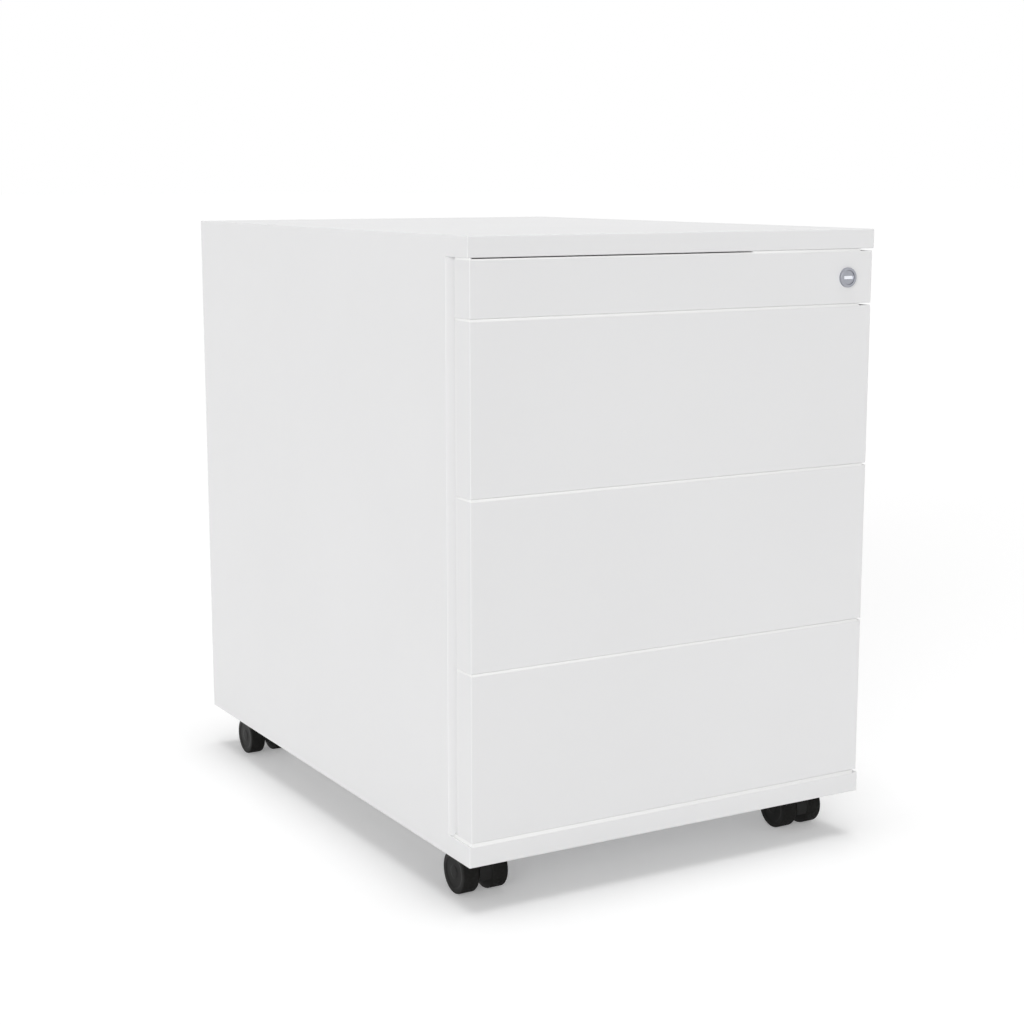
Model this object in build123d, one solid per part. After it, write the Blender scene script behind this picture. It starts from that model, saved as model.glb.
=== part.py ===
from build123d import *
import math
import os

# A steel drawer pedestal on castors: a folded sheet body, a pencil drawer over three equal drawers, and a
# lock that bars them all. The fronts stand clear of the side panels, so fingers grip behind their ends.
# Millimetres. X runs left to right seen from the front, the fronts face -Y and the floor is Z = 0.

# Body
width = 428.0
depth = 600.0
body_height = 540.0
sheet = 1.0
bend_radius = 1.2
edge_round = 0.6
side_flange = 14.0
rear_flange = 15.0
base_return = 15.0
lip_upstand = 12.0

# Front layout
plinth_height = 19.0
plinth_gap = 3.0
lip_height = 18.0
front_gap = 2.0
pencil_front_height = 48.0
front_inset = 1.8
front_thickness = 26.0
finger_gap = 13.0
front_round = 0.8

# Drawer boxes, folded from thinner sheet
drawer_names = ["lower", "middle", "upper"]
box_sheet = 0.9
box_rise = 14.0
box_headroom = 24.0
box_hem = 5.0
rear_room = 45.0
divider_slot_width = 2.0
divider_slot_height = 14.0
divider_slot_pitch = 25.0
divider_slot_margin = 60.0

# Pencil tray, moulded
tray_rise = 6.0
tray_height = 30.0
tray_wall = 2.0
tray_divider_height = 14.0
pen_trough_length = 110.0
small_bay_length = 120.0
small_bay_width = 118.0
lock_notch_side = 17.0

# Ball runners
post_width = 30.0
rail_height = 35.0
pencil_rail_height = 21.4
rail_rise = 32.0
runner_thickness = 12.7
rail_sheet = 1.2
cabinet_rail_depth = 9.5
cabinet_rail_lip = 2.4
rail_tip_gap = 3.6
ball_radius = 2.5
ball_clearance = 0.15
ball_depth = 5.6
balls_in_row = 5
ball_pitch = 22.0
cage_sheet = 0.8
cage_gap = 0.4
cage_arm = 8.2
cage_length = 115.0

# Lock and locking bar
lock_inset = 31.0
lock_proud = 3.0
lock_rim_radius = 9.0
lock_rim_round = 0.6
barrel_radius = 8.0
barrel_length = 33.0
plug_radius = 6.5
plug_sink = 0.5
key_slot_width = 10.0
key_slot_height = 2.8
key_slot_depth = 6.0
lock_fit = 0.06
nut_across_flats = 21.0
nut_thickness = 3.5
cam_sheet = 2.5
cam_hub_radius = 7.0
cam_arm_radius = 4.5
cam_tail_radius = 3.5
cam_pin_radius = 2.0
cam_turn = 90.0
cam_clearance = 1.0
pin_play = 0.6
bar_gap = 2.5
bar_thickness = 3.0
bar_side_clearance = 1.5
bar_tail = 12.0
driver_wall = 2.0
lug_height = 12.0
lug_clearance = 1.0
catch_gap = 1.5
catch_thickness = 4.0
catch_height = 14.0
catch_rise = 56.0
catch_clearance = 1.0
guide_height = 20.0
guide_fit = 0.3
strike_sheet = 2.0
strike_height = 7.0
strike_lift = 9.5
strike_foot = 8.0

# Screws
screw_radius = 2.0
screw_head_radius = 4.0
screw_head_height = 2.2
screw_clearance = 0.2
screw_reach = 6.0
drawer_screw_inset = 57.0
drawer_screw_margin = 20.0

# Castors
castor_inset = 36.5
front_swivel_setback = 72.0
rear_swivel_setback = 40.0
wheel_radius = 20.0
wheel_width = 20.0
wheel_headroom = 3.5
wheel_taper = 4.5
wheel_hub_radius = 11.0
wheel_edge = 1.0
wheel_dish_radius = 15.0
wheel_dish_depth = 0.6
wheel_skin = 2.5
castor_web = 4.0
castor_side_clearance = 0.5
castor_trail = 16.0
castor_recess = 11.0
castor_plate_size = 42.0
castor_plate_thickness = 2.5
castor_screw_spacing = 31.0
castor_rail_width = 50.0
castor_rail_flange = 12.0
castor_rail_end_gap = 8.0
axle_radius = 3.0
axle_fit = 0.05
axle_boss_radius = 6.0
kingpin_radius = 4.0
swivel_boss_radius = 7.0
swivel_floor = 1.2
swivel_flange_radius = 12.0
swivel_flange_thickness = 2.5
swivel_gap = 0.3

# Levels, upwards from the floor
body_bottom = 2 * wheel_radius + wheel_headroom
body_top = body_bottom + body_height
plinth_top = body_bottom + plinth_height
lip_bottom = body_top - lip_height
gap_count = len(drawer_names) + 1
fronts_height = lip_bottom - plinth_top - plinth_gap - gap_count * front_gap
drawer_front_height = (fronts_height - pencil_front_height) / len(drawer_names)
drawer_pitch = drawer_front_height + front_gap
front_bottom = {name: plinth_top + plinth_gap + i * drawer_pitch for i, name in enumerate(drawer_names)}
front_height = {name: drawer_front_height for name in drawer_names}
rail_size = {name: rail_height for name in drawer_names}
rail_centre = {name: front_bottom[name] + box_rise + rail_rise for name in drawer_names}
box_height = drawer_front_height - box_rise - box_headroom
front_bottom["pencil"] = lip_bottom - front_gap - pencil_front_height
front_height["pencil"] = pencil_front_height
rail_size["pencil"] = pencil_rail_height
tray_bottom = front_bottom["pencil"] + tray_rise
lock_z = front_bottom["pencil"] + pencil_front_height / 2
rail_centre["pencil"] = lock_z
castor_plate_top = body_bottom + castor_recess
castor_plate_bottom = castor_plate_top - castor_plate_thickness

# Stations along the depth, with the lock's rim as the foremost point of the whole
front = -(depth - lock_proud) / 2
back = front + depth
front_back = front + front_thickness
side_front = front_back + finger_gap
back_panel_front = back - 2 * sheet
bar_front = side_front + sheet + bar_gap
bar_back = bar_front + bar_thickness
catch_front = bar_back + catch_gap
catch_back = catch_front + catch_thickness
rail_front = catch_back + catch_clearance
rail_back = back_panel_front - rear_room
drawer_travel = rail_back - rail_front - cage_length
cage_front = rail_front + drawer_travel / 2
barrel_end = front + barrel_length
cam_back = barrel_end + cam_sheet
swivel_stations = {"front": front + front_swivel_setback, "rear": back - rear_swivel_setback}

# Places across the width
side_inner = width / 2 - sheet
post_face = width / 2 - side_flange
box_half = post_face - runner_thickness
front_half = width / 2 - front_inset
lock_x = width / 2 - lock_inset
cam_reach = post_face - cam_clearance - cam_pin_radius - lock_x
bar_lift = 2 * cam_reach * math.sin(math.radians(cam_turn / 2))
bar_inner = post_face + bar_side_clearance
bar_outer = side_inner - bar_side_clearance
swivel_places = {"left": -(width / 2 - castor_inset), "right": width / 2 - castor_inset}


def block(x, y, z):
    """A box between its limits along X, Y and Z."""
    limits = (x, y, z)
    centre = [(low + high) / 2 for low, high in limits]
    return Pos(*centre) * Box(*[high - low for low, high in limits])


def rod_y(x, z, radius, y):
    """A round bar along Y between two stations."""
    return Pos(x, sum(y) / 2, z) * Rot(90, 0, 0) * Cylinder(radius, y[1] - y[0])


def rod_z(x, y, radius, z):
    """A round bar along Z between two levels."""
    return Pos(x, y, sum(z) / 2) * Cylinder(radius, z[1] - z[0])


def outline(points, rounded=(), radius=0.0):
    """A flat outline, with the named corners rounded."""
    flat = Polygon(*points, align=None)
    corners = [
        vertex for vertex in flat.vertices()
        if any(math.dist((vertex.X, vertex.Y), point) < 1e-6 for point in rounded)
    ]
    return fillet(corners, radius) if corners else flat


def across(flat, x):
    """Extrudes an outline of Y and Z along X between two places."""
    return extrude(Plane.YZ.offset(x[0]) * flat, x[1] - x[0])


def along(flat, y):
    """Extrudes an outline of X and Z along Y between two stations."""
    return extrude(Plane.XZ.offset(-y[0]) * flat, y[1] - y[0], dir=(0, 1, 0))


def group(parts):
    """Separate solids kept side by side in one node."""
    return Compound([solid for part in parts for solid in part.solids()])


def both_sides(part):
    """A right-hand piece and its mirror image on the left."""
    return [part, mirror(part, about=Plane.YZ)]


# Side panels: one sheet each, notched behind the drawer fronts, with a front and a rear flange

def right_side_panel():
    ends = [(front, body_bottom), (front, plinth_top), (front, lip_bottom), (front, body_top)]
    points = [
        ends[0], (back, body_bottom), (back, body_top), ends[3],
        ends[2], (side_front, lip_bottom), (side_front, plinth_top), ends[1],
    ]
    panel = across(outline(points, ends, bend_radius), (side_inner, width / 2))
    panel = fillet(panel.faces().sort_by(Axis.X)[-1].edges(), edge_round)
    heights = (plinth_top, lip_bottom)
    panel += block((post_face, side_inner), (side_front, side_front + sheet), heights)
    panel += block((width / 2 - rear_flange, side_inner), (back - sheet, back), heights)
    return panel


# Top, base and back: folded pans that close the body between the side panels

def top_panel():
    turn_up = side_front
    outer = [(front, lip_bottom), (turn_up, lip_bottom), (front, body_top), (back, body_top)]
    points = [
        outer[0], outer[1], (turn_up, lip_bottom + lip_upstand),
        (turn_up - sheet, lip_bottom + lip_upstand), (turn_up - sheet, lip_bottom + sheet),
        (front + sheet, lip_bottom + sheet), (front + sheet, body_top - sheet),
        (back - sheet, body_top - sheet), (back - sheet, lip_bottom), (back, lip_bottom),
        outer[3], outer[2],
    ]
    return across(outline(points, outer, bend_radius), (-side_inner, side_inner))


def base_panel():
    outer = [(front, body_bottom), (back, body_bottom), (front, plinth_top)]
    inside = plinth_top - sheet
    points = [
        outer[0], (front + base_return, body_bottom), (front + base_return, body_bottom + sheet),
        (front + sheet, body_bottom + sheet), (front + sheet, inside), (back - sheet, inside),
        (back - sheet, body_bottom + sheet), (back - base_return, body_bottom + sheet),
        (back - base_return, body_bottom), outer[1], (back, plinth_top), outer[2],
    ]
    return across(outline(points, outer, bend_radius), (-side_inner, side_inner))


def back_panel():
    heights = (plinth_top, body_top - sheet)
    return block((-side_inner, side_inner), (back_panel_front, back - sheet), heights)


# Runner posts: channels welded upright inside the side panels

def runner_posts():
    posts = []
    for low in (rail_front, rail_back - post_width):
        high = low + post_width
        points = [
            (side_inner, low), (side_inner, low + sheet), (post_face + sheet, low + sheet),
            (post_face + sheet, high - sheet), (side_inner, high - sheet), (side_inner, high),
            (post_face, high), (post_face, low),
        ]
        height = lip_bottom - plinth_top
        posts += both_sides(extrude(Pos(0, 0, plinth_top) * outline(points), height))
    return group(posts)


# Ball runners: a channel on the posts, a smaller one on the drawer, and a caged row of balls between

def runner_outline(points, centre):
    """An outline given as depth from the post's face and height from the runner's centre line."""
    return outline([(post_face - depth_in, centre + height) for depth_in, height in points])


def inner_half(name):
    """Half the height of the drawer's member, which runs inside two rows of balls."""
    return rail_size[name] / 2 - rail_sheet - 2 * (ball_radius + ball_clearance)


def cabinet_rails(name):
    half, deep, lip = rail_size[name] / 2, cabinet_rail_depth, cabinet_rail_lip
    thick = rail_sheet
    upper = [
        (thick, half - thick), (deep - thick, half - thick), (deep - thick, half - lip),
        (deep, half - lip), (deep, half), (0, half),
    ]
    points = upper + [(depth_in, -height) for depth_in, height in reversed(upper)]
    return group(both_sides(along(runner_outline(points, rail_centre[name]), (rail_front, rail_back))))


def drawer_rails(name):
    half, thick, tip = inner_half(name), rail_sheet, rail_tip_gap
    upper = [
        (runner_thickness - thick, half - thick), (tip, half - thick), (tip, half),
        (runner_thickness, half),
    ]
    points = upper + [(depth_in, -height) for depth_in, height in reversed(upper)]
    return group(both_sides(along(runner_outline(points, rail_centre[name]), (rail_front, rail_back))))


def ball_cages(name):
    row = inner_half(name) + ball_clearance + ball_radius
    web = rail_sheet + cage_gap
    upper = [
        (web + cage_sheet, row - cage_sheet / 2), (web + cage_arm, row - cage_sheet / 2),
        (web + cage_arm, row + cage_sheet / 2), (web, row + cage_sheet / 2),
    ]
    points = upper + [(depth_in, -height) for depth_in, height in reversed(upper)]
    centre = rail_centre[name]
    cage = along(runner_outline(points, centre), (cage_front, cage_front + cage_length))
    first = cage_front + cage_length / 2 - (balls_in_row - 1) * ball_pitch / 2
    balls = []
    for height in (centre - row, centre + row):
        for i in range(balls_in_row):
            seat = Pos(post_face - ball_depth, first + i * ball_pitch, height)
            cage -= seat * Cylinder(ball_radius + ball_clearance, 2 * cage_sheet)
            balls.append(seat * Sphere(ball_radius))
    return group([part for piece in [cage] + balls for part in both_sides(piece)])


# Drawer fronts: a folded shell closed behind by a liner

def lock_hole(y):
    return rod_y(lock_x, lock_z, barrel_radius + lock_fit, y)


def front_shell(name):
    heights = (front_bottom[name], front_bottom[name] + front_height[name])
    shell = block((-front_half, front_half), (front, front_back), heights)
    shell = fillet(shell.faces().sort_by(Axis.Y)[0].edges(), front_round)
    shell = fillet(shell.edges().filter_by(Axis.Y), front_round / 2)
    inside = front_half - sheet
    shell -= block((-inside, inside), (front + sheet, front_back), (heights[0] + sheet, heights[1] - sheet))
    return shell - lock_hole((front, front_back)) if name == "pencil" else shell


def front_liner(name):
    inside = front_half - sheet
    heights = (front_bottom[name] + sheet, front_bottom[name] + front_height[name] - sheet)
    liner = block((-inside, inside), (front_back - sheet, front_back), heights)
    for x, z in screw_places(name):
        liner -= rod_y(x, z, screw_radius + screw_clearance, (front_back - sheet, front_back))
    return liner - lock_hole((front_back - sheet, front_back)) if name == "pencil" else liner


# Drawer screws, driven from inside the box through its front wall and the liner

def screw_places(name):
    x = box_half - drawer_screw_inset
    if name == "pencil":
        return [(-x, rail_centre[name]), (x, rail_centre[name])]
    bottom = front_bottom[name] + box_rise
    levels = (bottom + drawer_screw_margin, bottom + box_height - drawer_screw_margin)
    return [(side * x, z) for side in (-1, 1) for z in levels]


def drawer_screws(name):
    wall = tray_wall if name == "pencil" else box_sheet
    seat = front_back + wall
    screws = []
    for x, z in screw_places(name):
        shank = rod_y(x, z, screw_radius, (front_back - screw_reach, seat))
        screws.append(shank + rod_y(x, z, screw_head_radius, (seat, seat + screw_head_height)))
    return group(screws)


# Drawer boxes: floor, hemmed sides, front and back walls, and the catch that the locking bar holds

def drawer_box(name):
    bottom = front_bottom[name] + box_rise
    heights = (bottom, bottom + box_height)
    inside = box_half - box_sheet
    lengths = (front_back + box_sheet, rail_back - box_sheet)
    floor = block((-inside, inside), lengths, (bottom, bottom + box_sheet))
    side = block((inside, box_half), (front_back, rail_back), heights)
    hem_heights = (heights[1] - box_sheet, heights[1])
    side += block((box_half, box_half + box_hem), (rail_front, rail_back), hem_heights)
    slot_count = int((rail_back - front_back - 2 * divider_slot_margin) // divider_slot_pitch) + 1
    slot_top = heights[1] - drawer_screw_margin
    for i in range(slot_count):
        y = front_back + divider_slot_margin + i * divider_slot_pitch
        slot = (y - divider_slot_width / 2, y + divider_slot_width / 2)
        side -= block((inside, box_half), slot, (slot_top - divider_slot_height, slot_top))
    front_wall = block((-inside, inside), (front_back, lengths[0]), heights)
    back_wall = block((-inside, inside), (lengths[1], rail_back), heights)
    for x, z in screw_places(name):
        front_wall -= rod_y(x, z, screw_radius + screw_clearance, (front_back, lengths[0]))
    catch_bottom = bottom + catch_rise
    catch = block(
        (box_half, post_face - lug_clearance), (catch_front, catch_back),
        (catch_bottom, catch_bottom + catch_height),
    )
    return group([floor, front_wall, back_wall, catch] + both_sides(side))


# Pencil tray: one moulding, with a pen trough, small bays and a corner left out for the lock

def pencil_tray():
    heights = (tray_bottom, tray_bottom + tray_height)
    inside = box_half - tray_wall
    floor = tray_bottom + tray_wall
    notch_left = lock_x - lock_notch_side
    notch_back = rail_front
    notch = block((notch_left, box_half), (front_back, notch_back), heights)
    notch_wall = block((notch_left - tray_wall, box_half), (front_back, notch_back + tray_wall), heights)
    tray = block((-box_half, box_half), (front_back, rail_back), heights) - notch
    hollow = block((-inside, inside), (front_back + tray_wall, rail_back - tray_wall), (floor, heights[1]))
    tray -= hollow - notch_wall
    divider = (floor, floor + tray_divider_height)
    trough_end = front_back + tray_wall + pen_trough_length
    bays_end = trough_end + tray_wall + small_bay_length
    for y in (trough_end, bays_end):
        tray += block((-inside, inside), (y, y + tray_wall), divider)
    for x in (-small_bay_width / 2, small_bay_width / 2):
        tray += block((x - tray_wall / 2, x + tray_wall / 2), (trough_end + tray_wall, bays_end), divider)
    for x, z in screw_places("pencil"):
        tray -= rod_y(x, z, screw_radius + screw_clearance, (front_back, front_back + tray_wall))
    return tray


# Lock: a barrel held through the pencil front by a nut, and a plug that turns the cam behind it

def lock_housing():
    rim = rod_y(lock_x, lock_z, lock_rim_radius, (front - lock_proud, front))
    rim = fillet(rim.faces().sort_by(Axis.Y)[0].edges(), lock_rim_round)
    housing = rim + rod_y(lock_x, lock_z, barrel_radius, (front, barrel_end))
    return housing - rod_y(lock_x, lock_z, plug_radius + lock_fit, (front - lock_proud, barrel_end))


def lock_nut():
    hexagon = RegularPolygon(nut_across_flats / 2, 6, major_radius=False)
    nut = along(Pos(lock_x, lock_z) * hexagon, (front_back, front_back + nut_thickness))
    return nut - lock_hole((front_back, front_back + nut_thickness))


def lock_plug():
    face = front - lock_proud + plug_sink
    plug = rod_y(lock_x, lock_z, plug_radius, (face, barrel_end))
    plug += rod_y(lock_x, lock_z, cam_tail_radius, (barrel_end, cam_back))
    slot_x = (lock_x - key_slot_width / 2, lock_x + key_slot_width / 2)
    slot_z = (lock_z - key_slot_height / 2, lock_z + key_slot_height / 2)
    return plug - block(slot_x, (face, face + key_slot_depth), slot_z)


def pin_at_rest():
    """Where the cam's pin stands, half the cam's turn below the level of the lock."""
    angle = math.radians(cam_turn / 2)
    return lock_x + cam_reach * math.cos(angle), lock_z - cam_reach * math.sin(angle)


def lock_cam():
    pin_x, pin_z = pin_at_rest()
    plate = (barrel_end, cam_back)
    cam = rod_y(lock_x, lock_z, cam_hub_radius, plate) + rod_y(pin_x, pin_z, cam_arm_radius, plate)
    arm = Pos(lock_x, sum(plate) / 2, lock_z) * Rot(0, cam_turn / 2, 0) * Pos(cam_reach / 2, 0, 0)
    cam += arm * Box(cam_reach, cam_sheet, 2 * cam_arm_radius)
    cam += rod_y(pin_x, pin_z, cam_pin_radius, (cam_back, bar_back))
    return cam - rod_y(lock_x, lock_z, cam_tail_radius, plate)


# Locking bar: a lifting strip behind the right flange, with one lug under each drawer's catch

def catch_level(name):
    return front_bottom[name] + box_rise + catch_rise


def lock_bar():
    pin_x, pin_z = pin_at_rest()
    thick = (bar_front, bar_back)
    lug_bottoms = [catch_level(name) - lug_clearance - lug_height for name in drawer_names]
    slot_end = cam_pin_radius + pin_play
    driver_half = slot_end + driver_wall
    driver = (pin_z - driver_half, pin_z + driver_half)
    strip = block((bar_inner, bar_outer), thick, (min(lug_bottoms) - bar_tail, driver[1]))
    lug_tip = box_half + box_hem + lug_clearance
    strip += block((pin_x - driver_half, bar_inner), thick, driver)
    for bottom in lug_bottoms:
        strip += block((lug_tip, bar_inner), thick, (bottom, bottom + lug_height))
    slot_x = (pin_x - slot_end, lock_x + cam_reach + slot_end)
    return strip - block(slot_x, thick, (pin_z - slot_end, pin_z + slot_end))


def lock_bar_guides():
    guides = []
    for name in drawer_names[1:]:
        level = front_bottom[name] - front_gap / 2
        heights = (level - guide_height / 2, level + guide_height / 2)
        guide = block((post_face, side_inner), (side_front + sheet, rail_front), heights)
        way_x = (bar_inner - guide_fit, bar_outer + guide_fit)
        way_y = (bar_front - guide_fit, bar_back + guide_fit)
        guides.append(guide - block(way_x, way_y, heights))
    return group(guides)


# Strike: a bracket on the right flange, in front of the cam once the cam has turned up

def lock_strike():
    face = barrel_end - cam_clearance
    heights = (lock_z + strike_lift, lock_z + strike_lift + strike_height)
    inner = lock_x + cam_hub_radius
    plate = block((inner, side_inner), (face - strike_sheet, face), heights)
    return plate + block((side_inner - strike_foot, side_inner), (face, side_front), heights)


# Castors: rails under the base, fixed plates with their kingpins, swivelling webs, axles and twin wheels

def castor_rails():
    rails = []
    wall = castor_rail_width / 2
    inner_wall, flange = wall - rail_sheet, wall + castor_rail_flange
    top = plinth_top - sheet
    half = [
        (wall, castor_plate_top), (wall, top - rail_sheet), (flange, top - rail_sheet), (flange, top),
        (inner_wall, top), (inner_wall, castor_plate_top + rail_sheet),
    ]
    points = half + [(-y, z) for y, z in reversed(half)]
    reach = side_inner - castor_rail_end_gap
    for station in swivel_stations.values():
        rail = across(Pos(station, 0) * outline(points), (-reach, reach))
        seat = (castor_plate_top, castor_plate_top + rail_sheet)
        for x, y in castor_screw_places(station):
            rail -= rod_z(x, y, screw_radius + screw_clearance, seat)
        rails.append(rail)
    return group(rails)


def castor_screw_places(station):
    offsets = (-castor_screw_spacing / 2, castor_screw_spacing / 2)
    return [(x + dx, station + dy) for x in swivel_places.values() for dx in offsets for dy in offsets]


def castor_plates():
    plates = []
    half = castor_plate_size / 2
    for station in swivel_stations.values():
        for x in swivel_places.values():
            heights = (castor_plate_bottom, castor_plate_top)
            plate = block((x - half, x + half), (station - half, station + half), heights)
            for hole_x, hole_y in castor_screw_places(station):
                plate -= rod_z(hole_x, hole_y, screw_radius + screw_clearance, heights)
            pin_end = 2 * wheel_radius + castor_side_clearance + swivel_floor + swivel_gap
            plates.append(plate + rod_z(x, station, kingpin_radius, (pin_end, castor_plate_bottom)))
    return group(plates)


def castor_screws():
    screws = []
    for station in swivel_stations.values():
        for x, y in castor_screw_places(station):
            shank = rod_z(x, y, screw_radius, (castor_plate_bottom, castor_plate_top + screw_reach))
            head = (castor_plate_bottom - screw_head_height, castor_plate_bottom)
            screws.append(shank + rod_z(x, y, screw_head_radius, head))
    return group(screws)


def castor_web_body():
    """The swivelling body about its own axis: a wedge between the wheels, a neck and the kingpin's boss."""
    side = castor_web / 2
    wedge_radius = wheel_radius - wheel_edge
    share = (wedge_radius - wheel_hub_radius) / (wheel_radius - wheel_hub_radius)
    half = [(side, 0), (side, wheel_hub_radius), (side + wheel_taper * share, wedge_radius)]
    wedge = revolve(outline(half + [(-x, r) for x, r in reversed(half)]), Axis.X)
    swept = wheel_radius + castor_trail
    wedge &= block((-swept, swept), (-swept, swept), (-axle_boss_radius, wheel_radius))
    boss_bottom = 2 * wheel_radius + castor_side_clearance
    boss_top = castor_plate_bottom - swivel_gap
    body = Pos(0, -castor_trail, wheel_radius) * wedge
    neck = (-castor_trail, swivel_boss_radius)
    body += block((-side, side), neck, (wheel_radius, boss_bottom + swivel_floor))
    body += rod_z(0, 0, swivel_boss_radius, (boss_bottom, boss_top))
    body += rod_z(0, 0, swivel_flange_radius, (boss_top - swivel_flange_thickness, boss_top))
    body -= rod_z(0, 0, kingpin_radius + axle_fit, (boss_bottom + swivel_floor, boss_top))
    return body - Pos(0, -castor_trail, wheel_radius) * Rot(0, 90, 0) * Cylinder(axle_radius, castor_web)


def castor_axle():
    reach = castor_web / 2 + castor_side_clearance + wheel_width - wheel_skin - castor_side_clearance
    return Pos(0, -castor_trail, wheel_radius) * Rot(0, 90, 0) * Cylinder(axle_radius, 2 * reach)


def right_wheel():
    inner = castor_web / 2 + castor_side_clearance
    outer = inner + wheel_width
    bore = axle_radius + axle_fit
    dish = outer - wheel_dish_depth
    points = [
        (inner, bore), (inner, wheel_hub_radius), (inner + wheel_taper, wheel_radius),
        (outer - wheel_edge, wheel_radius), (outer, wheel_radius - wheel_edge),
        (outer, wheel_dish_radius), (dish, wheel_dish_radius - wheel_dish_depth), (dish, 0),
        (outer - wheel_skin, 0), (outer - wheel_skin, bore),
    ]
    return Pos(0, -castor_trail, wheel_radius) * revolve(outline(points), Axis.X)


nodes = {
    "left_side_panel": mirror(right_side_panel(), about=Plane.YZ),
    "right_side_panel": right_side_panel(),
    "top_panel": top_panel(),
    "base_panel": base_panel(),
    "back_panel": back_panel(),
    "runner_posts": runner_posts(),
    "lock_bar": lock_bar(),
    "lock_bar_guides": lock_bar_guides(),
    "lock_strike": lock_strike(),
    "lock_housing": lock_housing(),
    "lock_nut": lock_nut(),
    "lock_plug": lock_plug(),
    "lock_cam": lock_cam(),
    "pencil_tray": pencil_tray(),
    "castor_rails": castor_rails(),
    "castor_plates": castor_plates(),
    "castor_screws": castor_screws(),
}
for name in drawer_names:
    nodes[f"{name}_drawer_box"] = drawer_box(name)
for name in drawer_names + ["pencil"]:
    nodes[f"{name}_front_shell"] = front_shell(name)
    nodes[f"{name}_front_liner"] = front_liner(name)
    nodes[f"{name}_drawer_screws"] = drawer_screws(name)
    nodes[f"{name}_drawer_rails"] = drawer_rails(name)
    nodes[f"{name}_cabinet_rails"] = cabinet_rails(name)
    nodes[f"{name}_ball_cages"] = ball_cages(name)
for end, station in swivel_stations.items():
    for side, x in swivel_places.items():
        castor = f"{end}_{side}_castor"
        place = Pos(x, station, 0)
        nodes[f"{castor}_body"] = place * castor_web_body()
        nodes[f"{castor}_axle"] = place * castor_axle()
        nodes[f"{castor}_right_wheel"] = place * right_wheel()
        nodes[f"{castor}_left_wheel"] = place * mirror(right_wheel(), about=Plane.YZ)

os.makedirs("parts", exist_ok=True)
for name, shape in nodes.items():
    export_step(shape, f"parts/{name}.step")
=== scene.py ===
import math
import bmesh
import bpy
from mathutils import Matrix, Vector


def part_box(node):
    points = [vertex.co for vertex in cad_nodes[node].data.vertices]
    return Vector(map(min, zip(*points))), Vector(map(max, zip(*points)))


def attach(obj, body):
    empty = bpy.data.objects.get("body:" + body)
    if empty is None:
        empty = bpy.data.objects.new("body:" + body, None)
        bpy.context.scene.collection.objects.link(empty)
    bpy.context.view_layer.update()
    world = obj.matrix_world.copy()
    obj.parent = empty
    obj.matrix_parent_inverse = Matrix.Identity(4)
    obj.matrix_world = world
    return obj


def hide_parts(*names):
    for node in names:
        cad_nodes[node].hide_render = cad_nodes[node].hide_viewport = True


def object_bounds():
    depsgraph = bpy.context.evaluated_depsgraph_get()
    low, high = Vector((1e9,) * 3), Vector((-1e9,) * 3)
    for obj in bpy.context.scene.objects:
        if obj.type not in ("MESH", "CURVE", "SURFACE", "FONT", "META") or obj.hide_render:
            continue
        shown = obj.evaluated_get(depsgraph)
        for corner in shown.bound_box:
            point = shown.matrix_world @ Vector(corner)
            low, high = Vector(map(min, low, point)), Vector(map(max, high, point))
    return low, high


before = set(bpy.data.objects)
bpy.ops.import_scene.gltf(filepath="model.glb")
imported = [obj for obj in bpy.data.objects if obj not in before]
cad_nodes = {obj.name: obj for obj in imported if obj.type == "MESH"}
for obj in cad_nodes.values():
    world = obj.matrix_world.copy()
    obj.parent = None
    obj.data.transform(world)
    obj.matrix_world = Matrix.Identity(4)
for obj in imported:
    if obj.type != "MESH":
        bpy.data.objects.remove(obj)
cad_low, cad_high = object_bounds()
scene = bpy.context.scene
scene.view_settings.view_transform = "Standard"


# Camera: left of the drawer fronts and a little above them, aimed at the middle of the pedestal.
# It stands two metres off, with a long lens.
view_azimuth = math.radians(-30.0)
view_elevation = math.radians(10.0)
view_distance = 1.964
field_of_view = math.radians(30.0)
aim = Vector((0.001, 0.0015, 0.291))

towards_camera = Vector((
    math.sin(view_azimuth) * math.cos(view_elevation),
    -math.cos(view_azimuth) * math.cos(view_elevation),
    math.sin(view_elevation),
))
camera_data = bpy.data.cameras.new("studio_camera")
camera_data.sensor_width = 36.0
camera_data.lens = camera_data.sensor_width / 2 / math.tan(field_of_view / 2)
camera = bpy.data.objects.new("studio_camera", camera_data)
camera.location = aim + view_distance * towards_camera
camera.rotation_euler = (-towards_camera).to_track_quat("-Z", "Y").to_euler()
scene.collection.objects.link(camera)
scene.camera = camera


# Studio light: an even white surround, a broad soft light overhead and a low one from the front left.
# The surround shows as plain white to the eye and in reflections, and lights the pedestal at a lower level.
def add_node(tree, kind, inputs=None, **settings):
    """Adds a node, with its settings, and fills its inputs with values or links."""
    node = tree.nodes.new(kind)
    for setting, value in settings.items():
        setattr(node, setting, value)
    for socket, value in (inputs or {}).items():
        if isinstance(value, bpy.types.NodeSocket):
            tree.links.new(value, node.inputs[socket])
        else:
            node.inputs[socket].default_value = value
    return node


def as_seen(tree):
    """One for what the eye sees, straight or in a reflection, and nought for light that falls on things."""
    rays = add_node(tree, "ShaderNodeLightPath").outputs
    straight_or_mirrored = {0: rays["Is Camera Ray"], 1: rays["Is Glossy Ray"]}
    eye = add_node(tree, "ShaderNodeMath", straight_or_mirrored, operation="MAXIMUM")
    or_through = {0: eye.outputs[0], 1: rays["Is Transmission Ray"]}
    return add_node(tree, "ShaderNodeMath", or_through, operation="MAXIMUM").outputs[0]


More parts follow.
